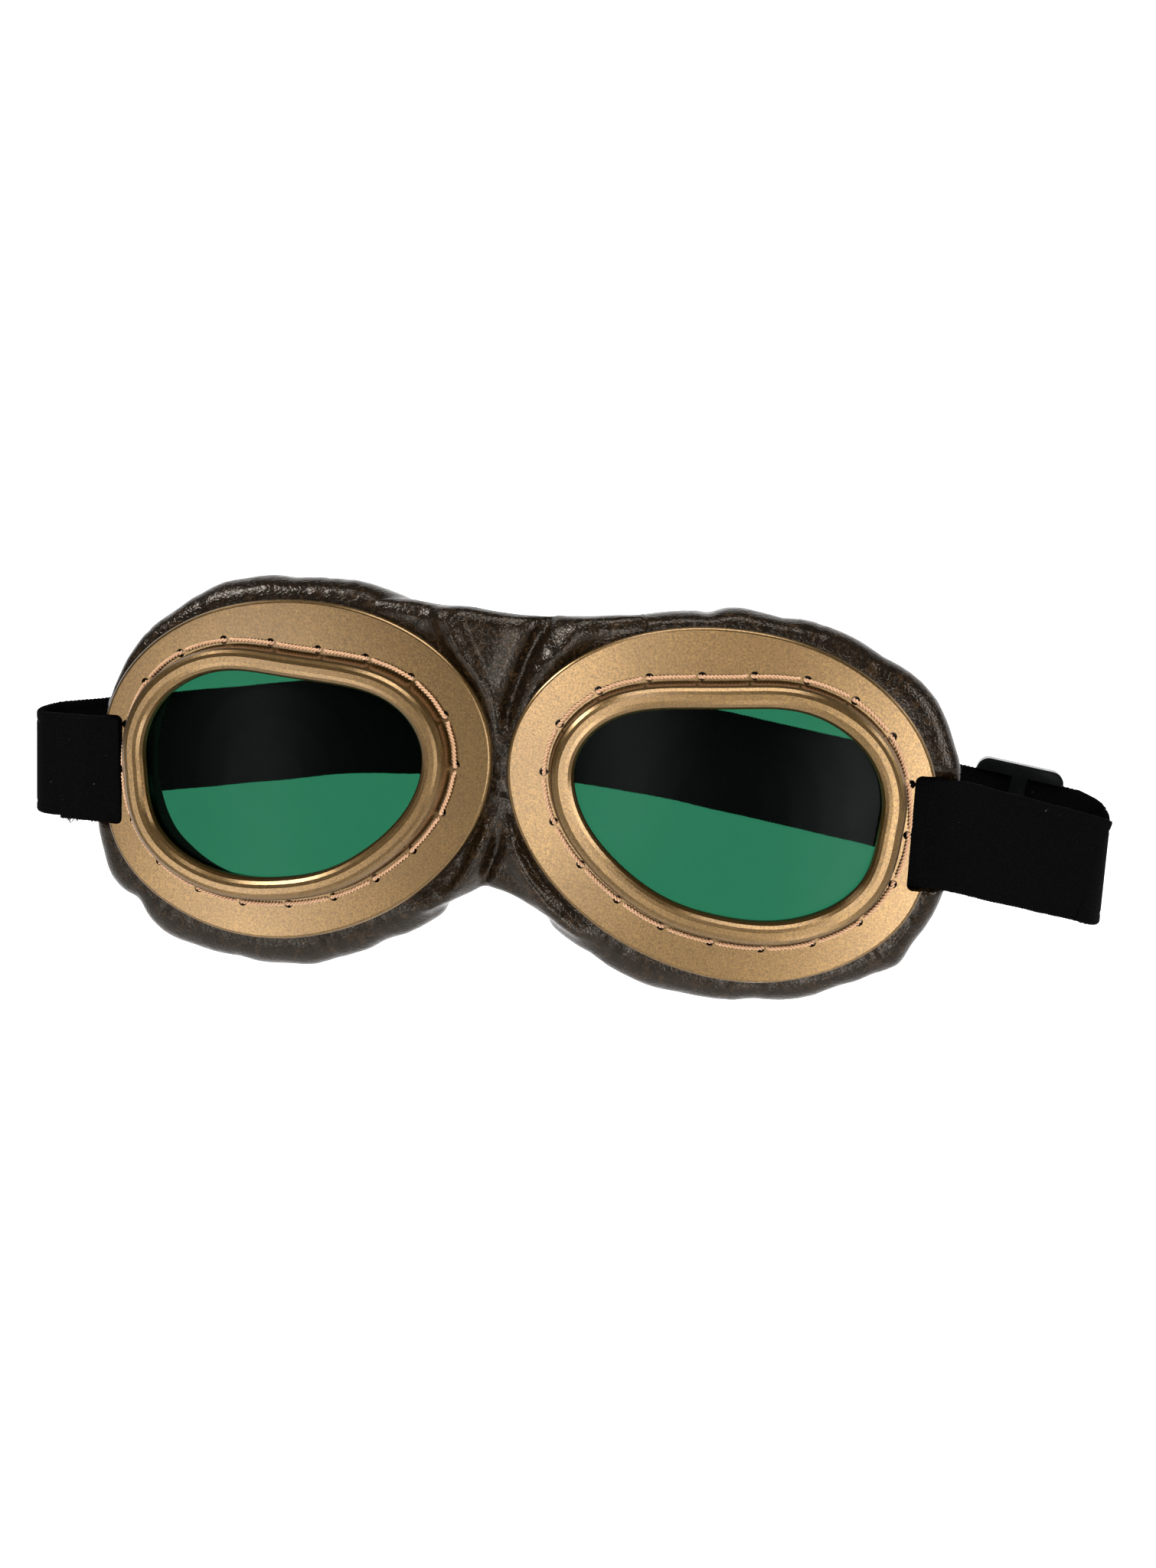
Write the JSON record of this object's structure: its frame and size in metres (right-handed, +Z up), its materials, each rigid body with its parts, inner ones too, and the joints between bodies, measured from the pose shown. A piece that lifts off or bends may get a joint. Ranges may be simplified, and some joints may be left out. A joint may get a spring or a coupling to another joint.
{
  "type": "aviator flying goggles",
  "caption": "Padded flying goggles with domed lenses in moulded rims laced to leather cups, a nose bridge that folds and an elastic strap with a slider.",
  "frame": {"origin": "midway between the lenses and level with their centres, in the plane where the pads meet the face", "axes": "+X to the viewer's right, +Z up, +Y towards the wearer's face, so the lenses look along -Y"},
  "size_m": [0.2603, 0.062, 0.0919],
  "materials": {
    "gold_plastic": "satin metallic gold paint over moulded plastic",
    "green_lens": "clear green tinted sheet, polished",
    "black_plastic": "glossy black moulding",
    "lacing_thread": "twisted copper coloured cord",
    "brown_leather": "dark brown pebbled leather cloth with crinkled reddish veins",
    "pad_foam": "soft foam",
    "lining_fabric": "matt black brushed lining",
    "strap_elastic": "ribbed black elastic webbing"
  },
  "bodies": {
    "left_half": {"eyepiece_frame_left": "gold_plastic", "lens_left": "green_lens", "lens_retainer_left": "black_plastic", "lacing_cord_left": "lacing_thread", "leather_cover_left": "brown_leather", "foam_pad_left": "pad_foam", "face_lining_left": "lining_fabric", "nose_bridge": "brown_leather", "strap_left": "strap_elastic", "strap_lap_left": "strap_elastic", "strap_back_span": "strap_elastic"},
    "right_half": {"eyepiece_frame_right": "gold_plastic", "lens_right": "green_lens", "lens_retainer_right": "black_plastic", "lacing_cord_right": "lacing_thread", "leather_cover_right": "brown_leather", "foam_pad_right": "pad_foam", "face_lining_right": "lining_fabric", "strap_right": "strap_elastic"},
    "slider": {"strap_slider": "black_plastic"}
  },
  "joints": [
    {"name": "bridge_fold", "type": "hinge", "parent": "left_half", "child": "right_half", "pos_m": [0, -0.0115, 0], "axis": [0, 0, 1], "range_deg": [-11.4, 45], "deforming": ["nose_bridge", "strap_back_span"]},
    {"name": "slider_slide", "type": "slide", "parent": "right_half", "child": "slider", "axis": [-0.9888, 0.0432, 0.1427], "range_m": [-0.002, 0.04]}
  ]
}
